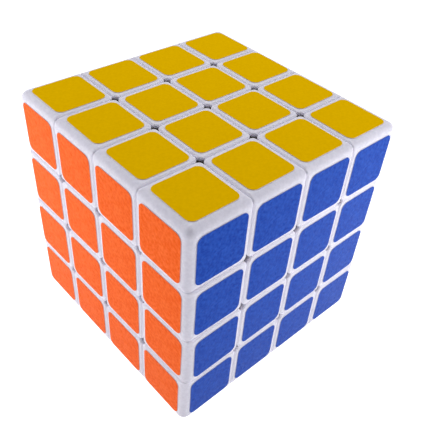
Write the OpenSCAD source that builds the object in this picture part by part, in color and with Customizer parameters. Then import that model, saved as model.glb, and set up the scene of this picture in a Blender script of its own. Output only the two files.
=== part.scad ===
// Twisty puzzle cube with four layers on each axis, stickered faces and a grooved ball core.
// Millimetres. The origin is the centre of the cube, where all turning axes meet. +Z is up,
// -Y is the front face and +X is the right face.

/* [Cube] */
// Width across the bare plastic faces
cube_w = 61.7; // [60.8:0.1:66]
// Distance between the turning planes, less than a quarter of the width
pitch = 15; // [14.6:0.1:15.2]
// Clearance between neighbouring pieces
gap = 0.3; // [0.2:0.05:0.4]
// Rounding along the outer edges of the cube
outer_edge_r = 2; // [1:0.1:2.4]
// Rounding along the seams of a face
seam_edge_r = 0.7; // [0.3:0.1:1]
// Rounding of the upright edges where four pieces meet
column_r = 1.8; // [1:0.1:2]

/* [Stickers] */
// Width of a sticker
sticker_w = 12.7; // [10:0.1:12.8]
// Corner radius of a sticker
sticker_r = 1.6; // [0.5:0.1:3]
// Thickness of a sticker
sticker_t = 0.15; // [0.1:0.05:0.4]

/* [Undercuts] */
// Distance from the middle plane to the cut between the feet
foot_cut = 11.5; // [11:0.1:12]
// Depth below the face of the sphere that parts the caps from the feet under them
lip_depth = 0.85; // [0.7:0.05:1.2]

/* [Ball core] */
// Radius of the ball
ball_r = 21; // [20.8:0.1:21.4]
// Radius where the undercut channels begin, under the lips
channel_roof_r = 19.2; // [19:0.1:19.4]
// Radius of the floor of the channels
channel_floor_r = 17; // [16.8:0.1:17.2]
// Distance of each foot from the two middle planes beside it
foot_offset = 5.3; // [5.2:0.1:5.4]
// Radius of the stalk of a foot
stalk_r = 1.6; // [1.4:0.1:1.7]
// Radius of the round head of a foot
head_r = 3.6; // [3.4:0.1:3.7]

/* [Screws] */
// Radius of a screw's shank
screw_r = 1; // [0.8:0.1:1.1]
// Radius of a screw's head
screw_head_r = 1.9; // [1.6:0.1:2.2]
// Length of a screw under its head
screw_l = 9; // [6:1:12]

/* [Hidden] */
$fn = 64;
half = cube_w / 2;
lip_r = half - lip_depth;
// clearance of a glued stalk in its socket, and of a screw in its hole
fit_gap = 0.05;
// height of the upper end of a stalk inside its centre piece
stalk_top = 26;
// height of a screw's head and of the seat it rests on
screw_head_h = 0.9;
screw_seat_z = channel_roof_r + 0.6;
hex_socket_r = 0.9;
// radius of the circle on which the four feet of a face run
foot_circle_r = foot_offset * sqrt(2);
beyond = 2 * cube_w;

WHITE = [0.90, 0.90, 0.94];
DARK = [0.20, 0.20, 0.22];
STEEL = [0.70, 0.71, 0.73];

// Levels from the lowest up, the four sides and the four upright corners, going round from the front
LEVELS = ["bottom", "lower", "upper", "top"];
SIDES = ["front", "right", "back", "left"];
CORNERS = ["front_right", "back_right", "back_left", "front_left"];
SIDE_COLOURS = ["orange", "blue", "red", "green"];
PAINT = [[1.0, 0.42, 0.16], [0.18, 0.33, 0.80], [0.78, 0.10, 0.13], [0.10, 0.55, 0.25]];
YELLOW = [0.84, 0.66, 0.0];
BLACK = [0.07, 0.07, 0.08];
OUTER = [0, 3];
INNER = [1, 2];

function is_outer(level) = level == 0 || level == 3;
function side_of(level) = level < 2 ? -1 : 1;

// ---- one piece, in the octant where x, y and z are positive ----
// A piece lies between two cuts on each axis: outer is true for the two layers at the cube's faces.

function cap_from(outer) = (outer ? pitch : 0) + gap / 2;
function cap_to(outer) = outer ? half : pitch - gap / 2;
function foot_from(outer) = (outer ? foot_cut : 0) + gap / 2;
function foot_to(outer) = outer ? half : foot_cut - gap / 2;

// What a quarter-round edge of radius r takes off a corner at [u, v] that points along [du, dv].
module corner_waste(u, v, du, dv, r)
  difference() {
    translate([u - (du > 0 ? r : 0), v - (dv > 0 ? r : 0)]) square(r);
    translate([u - du * r, v - dv * r]) circle(r);
  }

// Outline of a cap seen along one axis. An edge between two faces of the cube has the large radius,
// an edge between a face and a seam the small one, and an edge between two seams the column radius.
module cap_outline(a, b) {
  a0 = cap_from(a);
  a1 = cap_to(a);
  b0 = cap_from(b);
  b1 = cap_to(b);
  difference() {
    translate([a0, b0]) square([a1 - a0, b1 - b0]);
    corner_waste(a0, b0, -1, -1, column_r);
    corner_waste(a1, b0, 1, -1, a ? seam_edge_r : column_r);
    corner_waste(a0, b1, -1, 1, b ? seam_edge_r : column_r);
    corner_waste(a1, b1, 1, 1, a && b ? outer_edge_r : a || b ? seam_edge_r : column_r);
  }
}

// Turns X to Y, Y to Z and Z to X.
module next_axis() rotate([90, 0, 90]) children();

module cap(a, b, c)
  intersection() {
    linear_extrude(half) cap_outline(a, b);
    next_axis() linear_extrude(half) cap_outline(b, c);
    next_axis() next_axis() linear_extrude(half) cap_outline(c, a);
  }

module box(lo, hi) translate(lo) cube(hi - lo);

// The space between the foot cuts, with the column rounding carried down between four centres.
module foot_space(a, b, c)
  difference() {
    box([foot_from(a), foot_from(b), foot_from(c)], [foot_to(a), foot_to(b), foot_to(c)]);
    if (!a && !b) column_waste();
    if (!b && !c) next_axis() column_waste();
    if (!c && !a) next_axis() next_axis() column_waste();
  }

module column_waste()
  linear_extrude(beyond) corner_waste(gap / 2, gap / 2, -1, -1, column_r);

// The cap, parted by a sphere from the neighbours' feet under it, and the foot inside that sphere.
module piece(a, b, c)
  difference() {
    union() {
      difference() {
        cap(a, b, c);
        difference() {
          sphere(lip_r + gap / 2);
          foot_space(a, b, c);
        }
      }
      intersection() {
        foot_space(a, b, c);
        sphere(lip_r - gap / 2);
      }
    }
    sphere(ball_r + gap);
  }

module to_octant(x, y, z)
  mirror([x < 0 ? 1 : 0, 0, 0]) mirror([0, y < 0 ? 1 : 0, 0]) mirror([0, 0, z < 0 ? 1 : 0])
    children();

// Lays what is made on the top face over onto the front face.
module onto_front() rotate([90, 0, 0]) children();

// ---- pieces ----

module corner_piece(level, turn)
  color(WHITE) rotate([0, 0, 90 * turn]) to_octant(1, -1, side_of(level)) piece(true, true, true);

// The two pieces in the middle of a horizontal edge of the cube
module edge_pair(level, turn)
  color(WHITE) rotate([0, 0, 90 * turn])
    for (x = [-1, 1]) to_octant(x, -1, side_of(level)) piece(false, true, true);

// One piece of an upright edge of the cube
module upright_edge(level, turn)
  color(WHITE) rotate([0, 0, 90 * turn]) to_octant(1, -1, side_of(level)) piece(true, true, false);

// One centre piece of the top face with the blind socket for its stalk
module centre_piece(x, y)
  to_octant(x, y, 1)
    difference() {
      piece(false, false, true);
      translate([foot_offset, foot_offset, 0]) cylinder(h = stalk_top + fit_gap, r = stalk_r + fit_gap);
    }

module face_centres(level)
  color(WHITE) mirror([0, 0, side_of(level) < 0 ? 1 : 0])
    for (x = [-1, 1], y = [-1, 1]) centre_piece(x, y);

module side_centres(level, turn)
  color(WHITE) rotate([0, 0, 90 * turn]) onto_front()
    for (x = [-1, 1]) centre_piece(x, side_of(level));

// Stalk and round head of one centre piece of the top face. The head lies between two spheres.
module foot(x, y)
  translate([x * foot_offset, y * foot_offset, 0])
    difference() {
      union() {
        cylinder(h = stalk_top, r = stalk_r);
        intersection() {
          cylinder(h = stalk_top, r = head_r);
          translate([-x * foot_offset, -y * foot_offset, 0]) sphere(channel_roof_r - gap);
        }
      }
      translate([-x * foot_offset, -y * foot_offset, 0]) sphere(channel_floor_r + gap);
    }

module feet(level)
  color(DARK)
    if (is_outer(level))
      mirror([0, 0, side_of(level) < 0 ? 1 : 0]) for (x = [-1, 1], y = [-1, 1]) foot(x, y);
    else
      for (turn = [0:3], x = [-1, 1]) rotate([0, 0, 90 * turn]) onto_front() foot(x, side_of(level));

// ---- stickers ----

// One sticker of the top face, on the piece at columns i and j, which count from 0 to 3
module sticker(i, j)
  translate([(i - 1.5) * pitch, (j - 1.5) * pitch, half]) linear_extrude(sticker_t) {
    square([sticker_w, sticker_w - 2 * sticker_r], center = true);
    square([sticker_w - 2 * sticker_r, sticker_w], center = true);
    for (x = [-1, 1], y = [-1, 1])
      translate([x, y] * (sticker_w / 2 - sticker_r)) circle(sticker_r);
  }

module face_stickers(level)
  color(side_of(level) > 0 ? YELLOW : BLACK) mirror([0, 0, side_of(level) < 0 ? 1 : 0])
    for (i = [0:3], j = [0:3]) sticker(i, j);

module side_stickers(level, turn)
  color(PAINT[turn]) rotate([0, 0, 90 * turn]) onto_front()
    for (i = [0:3]) sticker(i, level);

// ---- core ----

// Turns the +Z pole to one of the six ends of the axes: the four sides, then the top and the bottom.
module pole(i)
  if (i < 4) rotate([0, 0, 90 * i]) onto_front() children();
  else rotate([180 * (i - 4), 0, 0]) children();

module each_pole() for (i = [0:5]) pole(i) children();

module ring(r_in, r_out, z0, z1)
  translate([0, 0, z0]) difference() {
    cylinder(h = z1 - z0, r = r_out);
    translate([0, 0, -1]) cylinder(h = z1 - z0 + 2, r = r_in);
  }

// Slab across the Z axis in which the feet of the upper inner layer run round
module ring_slab(foot_radius)
  translate([0, 0, foot_offset - foot_radius - gap]) cylinder(h = 2 * (foot_radius + gap), r = beyond);

// Tube about the Z axis in which the four feet of the top layer run round
module pole_tube(foot_radius)
  ring(foot_circle_r - foot_radius - gap, foot_circle_r + foot_radius + gap, 0, beyond);

// One ring groove on each axis
module ring_grooves(foot_radius) {
  ring_slab(foot_radius);
  next_axis() ring_slab(foot_radius);
  next_axis() next_axis() ring_slab(foot_radius);
}

// The ring grooves and a round groove about each pole
module all_grooves(foot_radius) {
  ring_grooves(foot_radius);
  each_pole() pole_tube(foot_radius);
}

// Round space above the stem of a pole, which its cap fills
module pole_cap_space(clearance)
  difference() {
    cylinder(h = beyond, r = foot_circle_r - stalk_r - gap + clearance);
    sphere(channel_roof_r);
  }

module core_ball()
  color(DARK) difference() {
    sphere(ball_r);
    difference() {
      union() {
        all_grooves(stalk_r);
        intersection() {
          all_grooves(head_r);
          sphere(channel_roof_r);
        }
      }
      sphere(channel_floor_r);
    }
    each_pole() pole_cap_space(fit_gap);
    each_pole() translate([0, 0, screw_seat_z - screw_l - 1]) cylinder(h = beyond, r = screw_r + fit_gap);
  }

// A round plate on each pole's stem, with a sunk seat for its screw, cut by the ring grooves
module pole_cap()
  difference() {
    intersection() {
      pole_cap_space(0);
      sphere(ball_r);
    }
    cylinder(h = beyond, r = screw_r + fit_gap);
    translate([0, 0, screw_seat_z]) cylinder(h = beyond, r = screw_head_r + fit_gap);
  }

module pole_caps()
  color(DARK) for (i = [0:5]) difference() {
    pole(i) pole_cap();
    ring_grooves(stalk_r);
  }

module pole_screws()
  color(STEEL) each_pole() translate([0, 0, screw_seat_z]) difference() {
    union() {
      translate([0, 0, -screw_l]) cylinder(h = screw_l, r = screw_r);
      cylinder(h = screw_head_h, r = screw_head_r);
    }
    translate([0, 0, screw_head_h / 2]) cylinder(h = screw_head_h, r = hex_socket_r, $fn = 6);
  }

// ---- assembly ----

core_ball();
pole_caps();
pole_screws();
face_stickers(3);  // stickers_yellow
face_stickers(0);  // stickers_black
for (l = OUTER) face_centres(l);
for (l = [0:3]) feet(l);
for (l = OUTER, t = [0:3]) {
  corner_piece(l, t);
  edge_pair(l, t);
}
for (l = INNER, t = [0:3]) {
  upright_edge(l, t);
  side_centres(l, t);
}
for (l = [0:3], t = [0:3])
  side_stickers(l, t);
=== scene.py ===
import itertools
import math
import random

import bmesh
import bpy
from mathutils import Matrix, Vector


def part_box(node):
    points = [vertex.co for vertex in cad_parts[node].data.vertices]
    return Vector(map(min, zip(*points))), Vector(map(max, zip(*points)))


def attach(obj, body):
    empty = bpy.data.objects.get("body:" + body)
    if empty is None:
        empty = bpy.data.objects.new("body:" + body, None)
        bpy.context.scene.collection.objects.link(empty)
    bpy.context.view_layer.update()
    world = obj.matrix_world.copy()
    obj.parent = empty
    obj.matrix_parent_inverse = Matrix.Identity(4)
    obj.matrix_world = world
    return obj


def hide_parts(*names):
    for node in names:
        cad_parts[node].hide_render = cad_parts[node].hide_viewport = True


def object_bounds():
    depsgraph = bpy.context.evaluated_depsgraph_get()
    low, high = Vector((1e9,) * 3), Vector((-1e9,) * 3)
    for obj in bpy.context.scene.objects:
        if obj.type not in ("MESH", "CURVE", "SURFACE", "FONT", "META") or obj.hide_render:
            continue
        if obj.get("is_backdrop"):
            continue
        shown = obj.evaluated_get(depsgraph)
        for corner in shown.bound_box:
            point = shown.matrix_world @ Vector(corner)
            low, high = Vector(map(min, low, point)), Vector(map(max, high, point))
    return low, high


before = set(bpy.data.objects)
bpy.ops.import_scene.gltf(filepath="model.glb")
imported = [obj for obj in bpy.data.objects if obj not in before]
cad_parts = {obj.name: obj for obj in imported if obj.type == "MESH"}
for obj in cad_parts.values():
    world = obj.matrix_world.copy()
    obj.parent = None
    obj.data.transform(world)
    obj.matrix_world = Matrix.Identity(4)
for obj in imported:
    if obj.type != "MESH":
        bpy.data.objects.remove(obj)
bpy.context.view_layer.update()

random.seed(4)

# ---- layers ----
LEVELS = ["bottom", "lower", "upper", "top"]
BODIES = ["bottom_layer", "lower_inner_layer", "upper_inner_layer", "top_layer"]
LAST = len(LEVELS) - 1                                    # index of the far layer on each axis
FACE_COLOURS = {                                          # axis and end of each face
    (2, 1): "yellow",
    (2, -1): "black",
    (1, -1): "orange",
    (0, 1): "blue",
    (1, 1): "red",
    (0, -1): "green",
}

# ---- sizes, from the frame ----
MM = 0.001
CAD_GAP = 0.3 * MM                                        # clearance between the CAD pieces
GAP = 0.05 * MM                                           # and between the pieces as they are seen
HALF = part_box("corner_top_front_right")[1].x              # middle of the cube to a bare plastic face
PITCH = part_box("edges_top_front")[1].x + CAD_GAP / 2      # distance between the turning planes
OUTER_R = 2.0 * MM                                        # rounding along the cube's outer edges
SEAM_R = 0.7 * MM                                         # rounding along a seam of a face
COLUMN_R = 1.85 * MM                                      # rounding where four pieces meet
FOOT_CUT = PITCH - 3.5 * MM                               # cuts between the feet under the caps
FOOT_EDGE_R = 0.15 * MM
LIP_R = HALF - 0.85 * MM                                  # sphere that parts caps from feet
BALL_R = 21.3 * MM                                        # inner hollow of the pieces, round the core
STALK_AT = 5.3 * MM                                       # a centre's stalk, from both middle planes
STALK_R = 2.0 * MM
STALK_TOP = 26.05 * MM
STEP = 0.05 * MM                                          # keeps the faces of cap and foot apart
WELD = 1e-4 * MM                                          # points nearer than this become one

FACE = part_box("stickers_yellow")[1].z                     # middle of the cube to a sticker's surface
STICKER_T = FACE - HALF
STICKER_W = 2 * (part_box("stickers_yellow")[1].x - LAST / 2 * PITCH)
STICKER_R = 1.6 * MM                                      # corner radius of a sticker
STICKER_EDGE_R = 0.06 * MM                                # softened rim of a sticker

# ---- how far things are off their places ----
SLACK = [0.1, 0.5, 0.0, -0.55]                            # each layer's turn, in degrees
LOOSE = 0.012 * MM                                        # a piece, at most
SHIFTED = 0.1 * MM                                        # a sticker, at most
ASKEW = 0.5                                               # a sticker's turn in degrees, at most


# ---- meshes ----

def object_from(name, bm):
    """A new object with a bmesh as its mesh. The bmesh is used up."""
    mesh = bpy.data.meshes.new(name)
    bm.to_mesh(mesh)
    bm.free()
    obj = bpy.data.objects.new(name, mesh)
    bpy.context.collection.objects.link(obj)
    return obj


def bake_modifiers(obj):
    """Replaces an object's mesh by what its modifiers make of it."""
    bpy.context.view_layer.update()
    shaped = obj.evaluated_get(bpy.context.evaluated_depsgraph_get())
    mesh = bpy.data.meshes.new_from_object(shaped)
    obj.modifiers.clear()
    old, obj.data = obj.data, mesh
    bpy.data.meshes.remove(old)


def combine(obj, other, operation):
    """A boolean of two objects. The second is used up."""
    cut = obj.modifiers.new("combine", "BOOLEAN")
    cut.operation = operation
    cut.solver = "EXACT"
    cut.object = other
    bake_modifiers(obj)
    bpy.data.objects.remove(other)
    return obj


def box(name, spans):
    """A box as a bmesh. spans holds where it begins and ends on each axis."""
    bm = bmesh.new()
    bmesh.ops.create_cube(bm, size=2)
    for v in bm.verts:
        v.co = Vector(spans[k][1] if v.co[k] > 0 else spans[k][0] for k in range(3))
    return bm


def plain_box(name, spans):
    """A box with sharp edges."""
    return object_from(name, box(name, spans))


def rounded_box(name, spans, edge_radius, segments):
    """A box with rounded edges. edge_radius(high) gives an edge its rounding, where high says for each
    of the two axes across the edge whether the edge is at the far end of its span."""
    bm = box(name, spans)
    middle = [sum(span) / 2 for span in spans]
    radii = []
    for e in bm.edges:
        start, end = (v.co for v in e.verts)
        along = max(range(3), key=lambda k: abs(start[k] - end[k]))
        radii.append(edge_radius({k: start[k] > middle[k] for k in range(3) if k != along}))
    weight = bm.edges.layers.float.new("bevel_weight_edge")
    for e, radius in zip(bm.edges, radii):
        e[weight] = radius / max(radii)
    obj = object_from(name, bm)
    bevel = obj.modifiers.new("rounding", "BEVEL")
    bevel.width = max(radii)
    bevel.segments = segments
    bevel.limit_method = "WEIGHT"
    bevel.offset_type = "OFFSET"
    bevel.use_clamp_overlap = False
    bake_modifiers(obj)
    return obj


def ball(radius):
    """A sphere round the middle of the cube."""
    bm = bmesh.new()
    bmesh.ops.create_uvsphere(bm, u_segments=96, v_segments=48, radius=radius)
    return object_from("ball", bm)


def rod(x, y, radius, top):
    """An upright rod from z = 0."""
    bm = bmesh.new()
    bmesh.ops.create_cone(bm, cap_ends=True, segments=32, radius1=radius, radius2=radius, depth=top)
    bmesh.ops.translate(bm, vec=(x, y, top / 2), verts=bm.verts)
    return object_from("rod", bm)


def finish_mesh(mesh, sharp_angle):
    """Welds a mesh, shades it smooth and marks its sharp edges."""
    bm = bmesh.new()
    bm.from_mesh(mesh)
    bmesh.ops.remove_doubles(bm, verts=bm.verts, dist=WELD)
    bmesh.ops.recalc_face_normals(bm, faces=bm.faces)
    for f in bm.faces:
        f.smooth = True
    for e in bm.edges:
        e.smooth = len(e.link_faces) == 2 and e.calc_face_angle(0.0) < sharp_angle
    bm.to_mesh(mesh)
    bm.free()


def piece_spans(outer, cut):
    """Where a piece of the positive octant begins and ends on each axis, with the cut between the inner
    and the outer layer at a given place. outer says for each axis whether it is in the outer layer."""
    return [(cut + GAP / 2, HALF) if o else (GAP / 2, cut - GAP / 2) for o in outer]


def piece_mesh(name, outer):
    """One piece in the positive octant: a rounded cap, and a foot that reaches under the neighbours."""

    def cap_radius(high):
        """Large between two faces of the cube, small at a seam of a face, and the column's inside."""
        exposed = sum(outer[k] and far for k, far in high.items())
        return (COLUMN_R, SEAM_R, OUTER_R)[exposed]

    def foot_radius(high):
        """Small, but the column rounding runs on down a centre's foot."""
        between_centres = not any(outer[k] for k in high)
        return COLUMN_R if between_centres else FOOT_EDGE_R

    cap = rounded_box(name, piece_spans(outer, PITCH), cap_radius, segments=8)
    foot_spans = piece_spans(outer, FOOT_CUT)
    if not all(outer):
        inside = [(lo - STEP, hi + STEP) for lo, hi in foot_spans]
        under = combine(ball(LIP_R + GAP / 2), plain_box("keep", inside), "DIFFERENCE")
        combine(cap, under, "DIFFERENCE")
    reach = [(lo + STEP, min(hi, LIP_R) - (0 if o else STEP)) for (lo, hi), o in zip(foot_spans, outer)]
    foot = rounded_box("foot", reach, foot_radius, segments=4)
    combine(foot, ball(LIP_R - GAP / 2), "INTERSECT")
    combine(cap, foot, "UNION")
    combine(cap, ball(BALL_R), "DIFFERENCE")
    if sum(outer) == 1:
        combine(cap, rod(STALK_AT, STALK_AT, STALK_R, STALK_TOP), "DIFFERENCE")
    mesh = cap.data
    finish_mesh(mesh, sharp_angle=math.radians(35))
    bpy.data.objects.remove(cap)
    return mesh


def sticker_mesh():
    """A thin rounded square lying on z = 0, with a softened upper rim."""
    corner_steps = 8
    rim_steps = 4
    rings = [(0.0, 0.0)]                                  # inset and height, from below to the top
    for n in range(rim_steps + 1):
        a = math.pi / 2 * n / rim_steps
        rings.append((STICKER_EDGE_R * (1 - math.cos(a)), STICKER_T - STICKER_EDGE_R * (1 - math.sin(a))))
    to_corner = STICKER_W / 2 - STICKER_R
    bm = bmesh.new()
    loops = []
    for inset, z in rings:
        r = STICKER_R - inset
        loop = []
        for corner, (sx, sy) in enumerate(((1, 1), (-1, 1), (-1, -1), (1, -1))):
            for n in range(corner_steps + 1):
                a = math.pi / 2 * (corner + n / corner_steps)
                x = sx * to_corner + r * math.cos(a)
                y = sy * to_corner + r * math.sin(a)
                loop.append(bm.verts.new((x, y, z)))
        loops.append(loop)
    for low, high in zip(loops, loops[1:]):
        for n in range(len(low)):
            m = (n + 1) % len(low)
            bm.faces.new((low[n], low[m], high[m], high[n]))
    bm.faces.new(loops[-1])
    bm.faces.new(reversed(loops[0]))
    mesh = bpy.data.meshes.new("sticker")
    bm.to_mesh(mesh)
    bm.free()
    finish_mesh(mesh, sharp_angle=math.radians(50))
    return mesh


# ---- materials ----

NOISE_RANGE = (0.3, 0.7)                                  # the middle of a noise texture's values


class Graph:
    """The nodes of a material or of the world. Most methods add a node and give its output back."""

    def __init__(self, tree):
        self.nodes = tree.nodes
        self.links = tree.links

    def feed(self, socket, value):
        """Links another node's output to a socket, or sets the socket to a plain value."""
        if isinstance(value, bpy.types.NodeSocket):
            self.links.new(value, socket)
        elif socket.type == "RGBA":
            socket.default_value = (*value, 1)
        else:
            socket.default_value = value

    def coordinates(self, kind="Object"):
        """Places in the piece's own coordinates, or of another kind."""
        return self.nodes.new("ShaderNodeTexCoord").outputs[kind]

    def height(self, place):
        """The Z of a place."""
        parts = self.nodes.new("ShaderNodeSeparateXYZ")
        self.links.new(place, parts.inputs[0])
        return parts.outputs["Z"]

    def vector(self, operation, first, second=(0, 0, 0)):
        node = self.nodes.new("ShaderNodeVectorMath")
        node.operation = operation
        self.feed(node.inputs[0], first)
        self.feed(node.inputs[1], second)
        return node.outputs["Value" if operation in ("LENGTH", "DOT_PRODUCT") else "Vector"]

    def product(self, first, second):
        node = self.nodes.new("ShaderNodeMath")
        node.operation = "MULTIPLY"
        self.feed(node.inputs[0], first)
        self.feed(node.inputs[1], second)
        return node.outputs["Value"]

    def ramp(self, value, start, end, low=0.0, high=1.0, smooth=False):
        """Runs from low to high as the value goes from start to end."""
        node = self.nodes.new("ShaderNodeMapRange")
        node.interpolation_type = "SMOOTHSTEP" if smooth else "LINEAR"
        for name, number in (("From Min", start), ("From Max", end), ("To Min", low), ("To Max", high)):
            node.inputs[name].default_value = number
        self.links.new(value, node.inputs["Value"])
        return node.outputs["Result"]

    def noise(self, size, detail):
        """Noise in the piece's own coordinates, with features of a size in metres."""
        node = self.nodes.new("ShaderNodeTexNoise")
        node.inputs["Scale"].default_value = 1 / size
        node.inputs["Detail"].default_value = detail
        self.links.new(self.coordinates(), node.inputs["Vector"])
        return node.outputs["Fac"]

    def varied(self, noise, low=0.0, high=1.0):
        """Runs from low to high as the noise goes over the middle of its range."""
        return self.ramp(noise, *NOISE_RANGE, low, high)

    def mix(self, factor, low, high):
        """A colour that runs from low to high, each a colour or an output that gives one."""
        node = self.nodes.new("ShaderNodeMix")
        node.data_type = "RGBA"
        self.links.new(factor, node.inputs["Factor"])
        for name, colour in (("A", low), ("B", high)):
            self.feed(next(s for s in node.inputs if s.name == name and s.type == "RGBA"), colour)
        return next(s for s in node.outputs if s.type == "RGBA")

    def bump(self, height, distance, strength):
        node = self.nodes.new("ShaderNodeBump")
        node.inputs["Distance"].default_value = distance
        node.inputs["Strength"].default_value = strength
        self.links.new(height, node.inputs["Height"])
        return node.outputs["Normal"]


def new_material(name, uniform):
    """A material with its graph and its shader's inputs. uniform holds the shader's plain values."""
    mat = bpy.data.materials.new(name)
    mat.use_nodes = True
    graph = Graph(mat.node_tree)
    inputs = graph.nodes["Principled BSDF"].inputs
    for socket, value in uniform.items():
        graph.feed(inputs[socket], value)
    return mat, graph, inputs


def below_surface(graph, start, end):
    """Runs from 0 at a depth of start under the cube's rounded outside to 1 at a depth of end. Pieces
    are made in the positive octant, so the depth follows from their coordinates."""
    beyond = graph.vector("SUBTRACT", graph.coordinates(), [HALF - OUTER_R] * 3)
    height = graph.vector("LENGTH", graph.vector("MAXIMUM", beyond))
    return graph.ramp(height, OUTER_R - start, OUTER_R - end, smooth=True)


def dust_and_shade_share(graph, start, end, elsewhere):
    """1 under the top face down to a depth of start, where the gaps' painted shade is fullest, and
    elsewhere from a depth of end on."""
    place = graph.nodes.new("ShaderNodeNewGeometry").outputs["Position"]
    return graph.ramp(graph.height(place), HALF - end, HALF - start, low=elsewhere)


def white_plastic():
    """Satin moulded plastic: a faint cloudiness, fine mould texture, a little light let in, a painted
    lighter tone on the seams, and painted shade with a grime tint down in the gaps, fullest under the top
    face."""
    dark_tones = (0.632, 0.617, 0.722), (0.672, 0.657, 0.762)
    light_tones = (0.718, 0.703, 0.808), (0.758, 0.743, 0.848)
    # painted light: a lighter tone for the seams' rounding
    seam_light_tone = (0.83, 0.81, 0.92)
    # painted shade with a brownish grime tint, laid down in the gaps
    grime_and_shade_tone = (0.19, 0.165, 0.125)
    mat, graph, shader = new_material("white_plastic", {
        "IOR": 1.5,
        "Specular IOR Level": 0.4,
        "Subsurface Weight": 0.5,
        "Subsurface Radius": (1.0, 0.9, 0.9),
        "Subsurface Scale": 1.0 * MM,
    })
    cloud = graph.noise(4 * MM, detail=6)
    shade = graph.varied(cloud)
    speckle = graph.varied(graph.noise(0.7 * MM, detail=3))
    clean = graph.mix(speckle, graph.mix(shade, *dark_tones), graph.mix(shade, *light_tones))
    # painted light: the seams' rounding, just under the cube's rounded outside, is painted lighter
    painted_seam_light = below_surface(graph, 0.02 * MM, 0.35 * MM)
    clean_plus_seam_light = graph.mix(painted_seam_light, clean, seam_light_tone)
    # painted shade down in the gaps, with a grime tint: full under the top face, weaker on the sides
    dust_and_shade = dust_and_shade_share(graph, 1.5 * MM, 2.5 * MM, elsewhere=0.42)
    grime_and_painted_shade = graph.product(below_surface(graph, 0.6 * MM, 1.1 * MM), dust_and_shade)
    grain = graph.noise(0.35 * MM, detail=4)
    graph.feed(shader["Base Color"], graph.mix(grime_and_painted_shade, clean_plus_seam_light, grime_and_shade_tone))
    graph.feed(shader["Roughness"], graph.varied(cloud, 0.42, 0.52))
    graph.feed(shader["Normal"], graph.bump(grain, distance=0.02 * MM, strength=0.25))
    return mat


def vinyl(name, low, high, specular):
    """Sticker vinyl: a fine speckle between two colours, a faint grain, a weak clear gloss, and painted
    light on the side walls: a pale tone in place of the shade that falls there."""
    # painted light: a pale tone mixed into the side walls' colour in place of their shade
    edge_light_tone = (0.75, 0.73, 0.82)
    edge_light_share = 0.6
    mat, graph, shader = new_material(name, {"Specular IOR Level": specular})
    grain = graph.noise(0.7 * MM, detail=4)
    cloud = graph.noise(3 * MM, detail=2)
    face = graph.mix(graph.varied(grain), low, high)
    # cut: the side walls' colour, painted lighter
    cut = tuple((1 - edge_light_share) * a + edge_light_share * b for a, b in zip(high, edge_light_tone))
    edge = graph.ramp(graph.height(graph.coordinates()), 0.95 * STICKER_T, 0.5 * STICKER_T)
    graph.feed(shader["Base Color"], graph.mix(edge, face, cut))
    graph.feed(shader["Roughness"], graph.varied(cloud, 0.24, 0.32))
    graph.feed(shader["Normal"], graph.bump(grain, distance=0.02 * MM, strength=0.3))
    return mat


def dark_plastic():
    """The dark moulded plastic of the core and the feet, with its gloss varying a little at random."""
    mat, graph, shader = new_material("mechanism_plastic", {"Specular IOR Level": 0.4})
    cloud = graph.noise(4 * MM, detail=3)
    grain = graph.noise(0.4 * MM, detail=3)
    tone = graph.mix(graph.varied(cloud), (0.022, 0.022, 0.025), (0.035, 0.035, 0.038))
    graph.feed(shader["Base Color"], tone)
    graph.feed(shader["Roughness"], graph.varied(cloud, 0.32, 0.5))
    graph.feed(shader["Normal"], graph.bump(grain, distance=0.03 * MM, strength=0.3))
    return mat


def screw_steel():
    """Zinc plated steel with fine turning marks and some dulled spots."""
    mat, graph, shader = new_material("screw_steel", {"Metallic": 1.0})
    cloud = graph.noise(1.5 * MM, detail=4)
    marks = graph.noise(0.15 * MM, detail=2)
    tone = graph.mix(graph.varied(cloud), (0.50, 0.50, 0.52), (0.66, 0.66, 0.67))
    graph.feed(shader["Base Color"], tone)
    graph.feed(shader["Roughness"], graph.varied(cloud, 0.25, 0.45))
    graph.feed(shader["Normal"], graph.bump(marks, distance=0.01 * MM, strength=0.3))
    return mat


VINYL = {
    "yellow": vinyl("sticker_yellow", (0.725, 0.425, 0.0), (0.78, 0.463, 0.0), specular=0.0),
    "black": vinyl("sticker_black", (0.010, 0.010, 0.012), (0.020, 0.020, 0.023), specular=0.05),
    "orange": vinyl("sticker_orange", (0.81, 0.087, 0.0), (0.955, 0.169, 0.034), specular=0.01),
    "blue": vinyl("sticker_blue", (0.0, 0.035, 0.320), (0.018, 0.088, 0.480), specular=0.025),
    "red": vinyl("sticker_red", (0.42, 0.006, 0.010), (0.50, 0.018, 0.024), specular=0.03),
    "green": vinyl("sticker_green", (0.006, 0.20, 0.036), (0.018, 0.26, 0.055), specular=0.03),
}
WHITE = white_plastic()
DARK = dark_plastic()
STEEL = screw_steel()


# ---- pieces ----

MESHES = {
    "corner": piece_mesh("corner_piece", (True, True, True)),
    "edge": piece_mesh("edge_piece", (False, True, True)),
    "centre": piece_mesh("centre_piece", (False, False, True)),
}
STICKER = sticker_mesh()


def side_name(i, j):
    """The side of the cube that column i, j lies on: a single name, or two at an upright corner."""
    front_back = {0: "front", LAST: "back"}.get(j)
    left_right = {0: "left", LAST: "right"}.get(i)
    return "_".join(n for n in (front_back, left_right) if n)


def cad_node(cell, kind):
    """The CAD node that holds the piece of a cell."""
    i, j, k = cell
    level = LEVELS[k]
    side = side_name(i, j)
    if kind == "corner":
        return f"corner_{level}_{side}"
    if kind == "edge":
        return f"edges_{level}_{side}" if k in (0, LAST) else f"edge_{level}_{side}"
    return f"centres_{level}" if k in (0, LAST) else f"centres_{level}_{side}"


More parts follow.
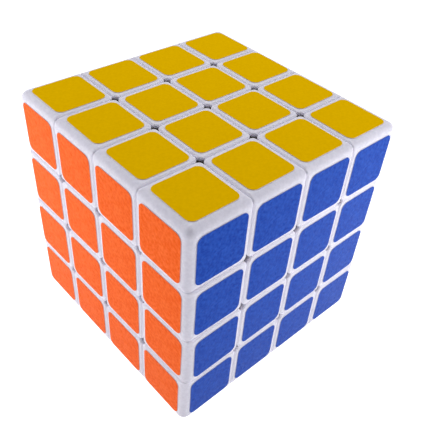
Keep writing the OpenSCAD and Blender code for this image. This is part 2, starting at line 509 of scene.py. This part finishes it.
def turn_to(outer, signs, kind):
    """The turn that takes a piece from the positive octant, where its mesh is made, to its place."""
    made = (2, 0, 1) if kind == "centre" else (0, 1, 2)   # the mesh's axes, the one unlike the others first
    lone = 0 if kind == "corner" else outer.index(kind == "centre")
    targets = [lone] + [axis for axis in range(3) if axis != lone]
    turn = Matrix.Diagonal((0, 0, 0))
    for axis, target in zip(made, targets):
        turn[target][axis] = signs[target]
    if turn.determinant() < 0:                            # swap two axes that the mesh treats alike
        _, a, b = made
        for row in range(3):
            turn[row][a], turn[row][b] = turn[row][b], turn[row][a]
    return turn.to_4x4()


def face_turn(axis, sign):
    """Takes the +Z face to the face at that end of an axis, with its own X running to the right."""
    if axis == 2:
        return Matrix.Identity(4) if sign > 0 else Matrix.Rotation(math.pi, 4, "X")
    upright = Matrix.Rotation(math.pi / 2, 4, "X")
    quarters = {(1, -1): 0, (0, 1): 1, (1, 1): 2, (0, -1): 3}[(axis, sign)]
    return Matrix.Rotation(quarters * math.pi / 2, 4, "Z") @ upright


def small(limit):
    """A random number on either side of 0, from the seed set above."""
    return random.uniform(-limit, limit)


def place(name, mesh, material, where, body, nodes, slot):
    """Puts a copy of a mesh where a piece or sticker is, and hands it to its body."""
    obj = bpy.data.objects.new(name, mesh)
    bpy.context.collection.objects.link(obj)
    obj.matrix_world = where
    if not mesh.materials:
        mesh.materials.append(material)
    obj.material_slots[0].link = "OBJECT"
    obj.material_slots[0].material = material
    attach(obj, body)
    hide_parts(nodes)
    normals = obj.modifiers.new("normals", "WEIGHTED_NORMAL")
    normals.keep_sharp = True


def build_piece(cell):
    """The piece at a cell (column, row and level) with its stickers, or nothing inside the cube."""
    i, j, k = cell
    outer = [n in (0, LAST) for n in cell]
    signs = [1 if n > LAST / 2 else -1 for n in cell]
    if not any(outer):
        return
    kind = {3: "corner", 2: "edge", 1: "centre"}[sum(outer)]
    slack = Matrix.Rotation(math.radians(SLACK[k]), 4, "Z")
    piece_at = slack @ Matrix.Translation((small(LOOSE), small(LOOSE), small(LOOSE)))
    place(f"{kind}_{LEVELS[k]}_{i}{j}", MESHES[kind], WHITE, piece_at @ turn_to(outer, signs, kind),
          BODIES[k], cad_node(cell, kind), "white_plastic")
    for axis in range(3):
        if outer[axis]:
            build_sticker(cell, axis, signs[axis], piece_at)


def build_sticker(cell, axis, sign, piece_at):
    """The sticker on one face of a piece."""
    i, j, k = cell
    colour = FACE_COLOURS[axis, sign]
    middle = Vector((n - LAST / 2) * PITCH for n in cell)
    middle[axis] = sign * HALF
    askew = Matrix.Rotation(math.radians(small(ASKEW)), 4, "Z")
    shifted = Matrix.Translation((small(SHIFTED), small(SHIFTED), 0))
    where = piece_at @ Matrix.Translation(middle) @ face_turn(axis, sign) @ shifted @ askew
    node = f"stickers_{colour}" if axis == 2 else f"stickers_{colour}_{LEVELS[k]}"
    place(f"sticker_{colour}_{i}{j}{k}", STICKER, VINYL[colour], where,
          BODIES[k], node, f"sticker_{colour}")


for cell in itertools.product(range(LAST + 1), repeat=3):
    build_piece(cell)


# ---- the CAD nodes that stay ----

def paint_node(node, material):
    """Gives a CAD node one material all over."""
    obj = bpy.data.objects[node]
    if not obj.material_slots:
        obj.data.materials.append(material)
    for held in obj.material_slots:
        held.material = material


for node in ["core_ball", "pole_caps"] + [f"centre_feet_{level}" for level in LEVELS]:
    paint_node(node, DARK)
paint_node("pole_screws", STEEL)


# ---- stage ----
# An azimuth is 0 at the front and 90 degrees at the right. Angles are in degrees.

OPENING = (45, 30)                                        # azimuth and elevation of the tent's open side
OPENING_SHARE = 0.10                                      # of the tent's light that the opening gives
OPENING_FADE = (0.2, 0.95)                                # cosine of the angle from it, edge to middle
TOP_LIGHT = 1.13
SIDE_LIGHT = 0.35                                         # of the tent near the floor
TOP_FADE = (0.0, 0.8)                                     # cosine of the angle from straight up
LAMPS = {                                                 # azimuth, elevation, distance, power
    "left_lamp": (-35, 12, 0.14, 0.062),
    "right_lamp": (124, 14, 0.12, 0.052),
    "back_lamp": (225, 60, 0.20, 0.06),
}
LAMP_SIZE = 0.08
FLOOR_SIZE = 3                                            # half its width
FLOOR_DROP = 0.02 * MM                                    # of the floor below the stickers on it
FLOOR_GLOW = 0.95

CAMERA_AT = (44.9, 40.9, 150.9 * MM)                      # azimuth, elevation and distance
CAMERA_TARGET = (4.8 * MM, 0.55 * MM, 0)
CAMERA_ROLL = 4.8
FOCAL_LENGTH = 48.9                                       # in mm, like the sensor's width
SENSOR_WIDTH = 36


def direction_at(azimuth, elevation):
    """The way towards an azimuth and an elevation."""
    across, up = math.radians(azimuth), math.radians(elevation)
    flat = math.cos(up)
    return Vector((math.sin(across) * flat, -math.cos(across) * flat, math.sin(up)))


def floor():
    """A pale floor that glows a little, so that it shows as white as the backdrop."""
    bm = bmesh.new()
    bmesh.ops.create_grid(bm, x_segments=1, y_segments=1, size=FLOOR_SIZE)
    obj = object_from("floor", bm)
    obj.location.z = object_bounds()[0].z - FLOOR_DROP
    mat, _, _ = new_material("pale_floor", {
        "Base Color": (0.5, 0.5, 0.5),
        "Emission Color": (1, 1, 1),
        "Emission Strength": FLOOR_GLOW,
        "Roughness": 0.9,
        "Specular IOR Level": 0.1,
    })
    obj.data.materials.append(mat)
    obj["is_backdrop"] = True


def area_light(name, position, power):
    """A square lamp that faces the middle of the cube."""
    lamp = bpy.data.lights.new(name, "AREA")
    lamp.shape = "SQUARE"
    lamp.size = LAMP_SIZE
    lamp.energy = power
    obj = bpy.data.objects.new(name, lamp)
    bpy.context.collection.objects.link(obj)
    obj.location = position
    obj.rotation_euler = (-position).to_track_quat("-Z", "Y").to_euler()
    obj.visible_camera = False


def studio():
    """A light tent, brightest at the top and open, so dimmer, on the side of the front right corner,
    with a soft lamp low on each side of the opening and a weak one above the back."""
    world = bpy.data.worlds.new("studio")
    bpy.context.scene.world = world
    world.use_nodes = True
    graph = Graph(world.node_tree)
    toward = graph.coordinates("Generated")
    up = graph.vector("DOT_PRODUCT", toward, (0, 0, 1))
    outward = graph.vector("DOT_PRODUCT", toward, direction_at(*OPENING))
    above = graph.ramp(up, *TOP_FADE, SIDE_LIGHT, TOP_LIGHT, smooth=True)
    opened = graph.ramp(outward, *OPENING_FADE, 1.0, OPENING_SHARE, smooth=True)
    tent = graph.product(above, opened)
    seen = graph.nodes.new("ShaderNodeLightPath").outputs["Is Camera Ray"]
    backdrop = graph.nodes.new("ShaderNodeMix")           # the backdrop itself stays plain white
    for name, value in (("Factor", seen), ("A", tent), ("B", 1.0)):
        graph.feed(backdrop.inputs[name], value)
    background = graph.nodes["Background"].inputs
    graph.feed(background["Color"], (1, 1, 1))
    graph.feed(background["Strength"], backdrop.outputs["Result"])
    for name, (azimuth, elevation, distance, power) in LAMPS.items():
        area_light(name, distance * direction_at(azimuth, elevation), power)


def camera():
    """The photograph's viewpoint: near, looking down on the corner between front and right."""
    azimuth, elevation, distance = CAMERA_AT
    back = direction_at(azimuth, elevation)
    data = bpy.data.cameras.new("camera")
    data.sensor_fit = "HORIZONTAL"
    data.sensor_width = SENSOR_WIDTH
    data.lens = FOCAL_LENGTH
    data.clip_start = 0.005
    data.clip_end = 20
    obj = bpy.data.objects.new("camera", data)
    bpy.context.collection.objects.link(obj)
    place_at = Matrix.Translation(Vector(CAMERA_TARGET) + back * distance)
    level = (-back).to_track_quat("-Z", "Y").to_matrix().to_4x4()
    obj.matrix_world = place_at @ level @ Matrix.Rotation(math.radians(CAMERA_ROLL), 4, "Z")
    bpy.context.scene.camera = obj


floor()
studio()
camera()
bpy.context.scene.view_settings.view_transform = "Standard"
